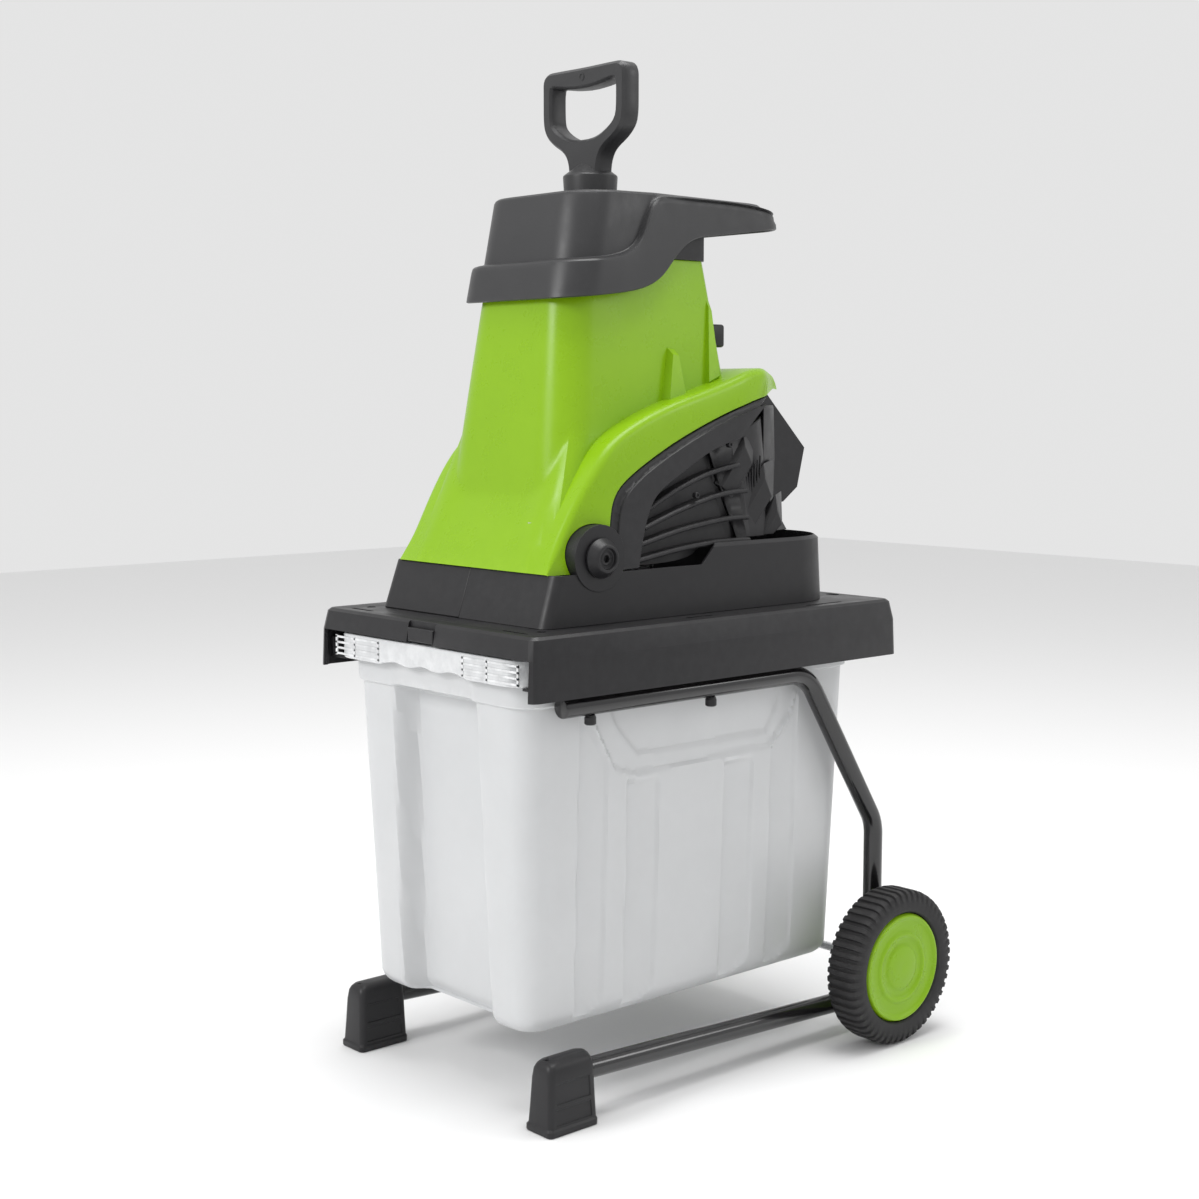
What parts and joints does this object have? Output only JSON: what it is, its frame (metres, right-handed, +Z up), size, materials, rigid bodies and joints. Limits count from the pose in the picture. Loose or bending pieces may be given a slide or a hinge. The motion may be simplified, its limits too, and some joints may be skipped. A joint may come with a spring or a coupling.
{
  "type": "garden shredder",
  "caption": "Wheeled electric garden shredder: feed hood with D-handle plunger, geared cutting roller, adjustable pressure plate, tubular frame and pull-out collecting bin.",
  "frame": {"origin": "on the floor, in the middle of the overall box", "axes": "+Z up; -Y is the front, where the bin slides out; +X is the right side, with the adjusting knob"},
  "size_m": [0.489, 0.6, 1.107],
  "materials": {
    "black_plastic": "satin moulded polypropylene",
    "green_plastic": "satin moulded plastic, yellow-green",
    "dark_grey_plastic": "satin moulded plastic, dark grey",
    "white_translucent_plastic": "translucent white polypropylene",
    "black_enamel": "gloss black powder coat on steel tube",
    "tyre_rubber": "moulded black rubber",
    "machined_steel": "machined steel",
    "cast_aluminium": "die-cast aluminium",
    "laminated_copper": "laminated steel stack with enamelled winding",
    "bush_bronze": "sintered bronze",
    "red_plastic": "gloss red plastic"
  },
  "bodies": {
    "frame": {"axle": "machined_steel", "axle_bracket_left": "black_enamel", "axle_bracket_right": "black_enamel", "base_plate": "black_plastic", "bin_interlock_switch": "black_plastic", "bin_rail_left": "black_plastic", "bin_rail_right": "black_plastic", "body_shell": "green_plastic", "cable_holder": "black_plastic", "control_box": "black_plastic", "control_panel": "black_plastic", "feed_chute": "black_plastic", "foot_left": "black_plastic", "foot_right": "black_plastic", "frame_screw_front_left": "black_plastic", "frame_screw_front_right": "black_plastic", "frame_screw_rear_left": "black_plastic", "frame_screw_rear_right": "black_plastic", "frame_tube_left": "black_enamel", "frame_tube_right": "black_enamel", "front_bearing_plate": "cast_aluminium", "gearbox_case": "cast_aluminium", "gearbox_lid": "cast_aluminium", "hood": "dark_grey_plastic", "lower_housing_left": "black_plastic", "lower_housing_right": "black_plastic", "mains_inlet": "black_plastic", "motor_bearing_front": "machined_steel", "motor_bearing_rear": "machined_steel", "motor_can": "cast_aluminium", "motor_cover": "black_plastic", "motor_end_shield": "cast_aluminium", "motor_stator": "laminated_copper", "pressure_plate_guide": "cast_aluminium", "roller_bush_front": "bush_bronze", "roller_bush_rear": "bush_bronze", "run_capacitor": "black_plastic", "side_cover_left": "black_plastic", "side_cover_right": "black_plastic"},
    "plunger": {"plunger_handle": "dark_grey_plastic", "plunger_pusher": "black_plastic"},
    "bin": {"collecting_bin": "white_translucent_plastic"},
    "wheel_left": {"wheel_tyre_left": "tyre_rubber", "wheel_hub_left": "green_plastic"},
    "wheel_right": {"wheel_tyre_right": "tyre_rubber", "wheel_hub_right": "green_plastic"},
    "rotor": {"motor_rotor": "machined_steel", "cooling_fan": "black_plastic"},
    "first_layshaft": {"layshaft_1": "machined_steel"},
    "second_layshaft": {"layshaft_2": "machined_steel"},
    "roller": {"cutting_roller": "machined_steel", "roller_gear": "machined_steel"},
    "adjuster": {"adjusting_knob": "black_plastic", "adjusting_screw": "machined_steel"},
    "counter_plate": {"pressure_plate": "cast_aluminium"},
    "start": {"start_button": "green_plastic"},
    "stop": {"stop_button": "red_plastic"},
    "reset": {"overload_reset_button": "black_plastic"},
    "selector": {"direction_selector": "black_plastic"},
    "safety_slider": {"bin_safety_slider": "black_plastic"}
  },
  "joints": [
    {"name": "plunger_slide", "type": "slide", "parent": "frame", "child": "plunger", "axis": [0, 0, 1], "range_m": [0, 0.26]},
    {"name": "bin_slide", "type": "slide", "parent": "frame", "child": "bin", "axis": [0, -1, 0], "range_m": [0, 0.55]},
    {"name": "wheel_left_spin", "type": "hinge", "parent": "frame", "child": "wheel_left", "pos_m": [-0.22225, 0.21, 0.09], "axis": [1, 0, 0], "continuous": true},
    {"name": "wheel_right_spin", "type": "hinge", "parent": "frame", "child": "wheel_right", "pos_m": [0.22225, 0.21, 0.09], "axis": [1, 0, 0], "continuous": true},
    {"name": "rotor_spin", "type": "hinge", "parent": "frame", "child": "rotor", "pos_m": [0, 0.05, 0.6445], "axis": [0, 1, 0], "continuous": true},
    {"name": "first_layshaft_spin", "type": "hinge", "parent": "frame", "child": "first_layshaft", "pos_m": [0.02719, -0.05, 0.63182], "axis": [0, 1, 0], "continuous": true},
    {"name": "second_layshaft_spin", "type": "hinge", "parent": "frame", "child": "second_layshaft", "pos_m": [0.01749, -0.05, 0.59715], "axis": [0, 1, 0], "continuous": true},
    {"name": "roller_spin", "type": "hinge", "parent": "frame", "child": "roller", "pos_m": [-0.03, -0.172, 0.5815], "axis": [0, 1, 0], "continuous": true},
    {"name": "adjuster_turn", "type": "hinge", "parent": "frame", "child": "adjuster", "pos_m": [0.144, -0.172, 0.5815], "axis": [1, 0, 0], "range_deg": [0, 1440]},
    {"name": "counter_plate_slide", "type": "slide", "parent": "frame", "child": "counter_plate", "axis": [1, 0, 0], "range_m": [0, 0.006]},
    {"name": "start_press", "type": "slide", "parent": "frame", "child": "start", "axis": [0, -0.6944, -0.7196], "range_m": [0, 0.003], "stiffness_N_per_m": 200},
    {"name": "stop_press", "type": "slide", "parent": "frame", "child": "stop", "axis": [0, -0.6944, -0.7196], "range_m": [0, 0.003], "stiffness_N_per_m": 200},
    {"name": "reset_press", "type": "slide", "parent": "frame", "child": "reset", "axis": [0, -0.6944, -0.7196], "range_m": [0, 0.003], "stiffness_N_per_m": 200},
    {"name": "selector_turn", "type": "hinge", "parent": "frame", "child": "selector", "pos_m": [-0.006, 0.21219, 0.70996], "axis": [0, 0.6944, 0.7196], "range_deg": [-45, 45]},
    {"name": "safety_slider_lift", "type": "slide", "parent": "frame", "child": "safety_slider", "axis": [0, 0, 1], "range_m": [0, 0.006]}
  ],
  "couplings": [
    {"joint": "first_layshaft_spin", "follows": "rotor_spin", "ratio": -0.26316},
    {"joint": "second_layshaft_spin", "follows": "rotor_spin", "ratio": 0.069252},
    {"joint": "roller_spin", "follows": "rotor_spin", "ratio": -0.017313},
    {"joint": "adjuster_turn", "follows": "counter_plate_slide", "rad_per_m": 4188.8}
  ]
}
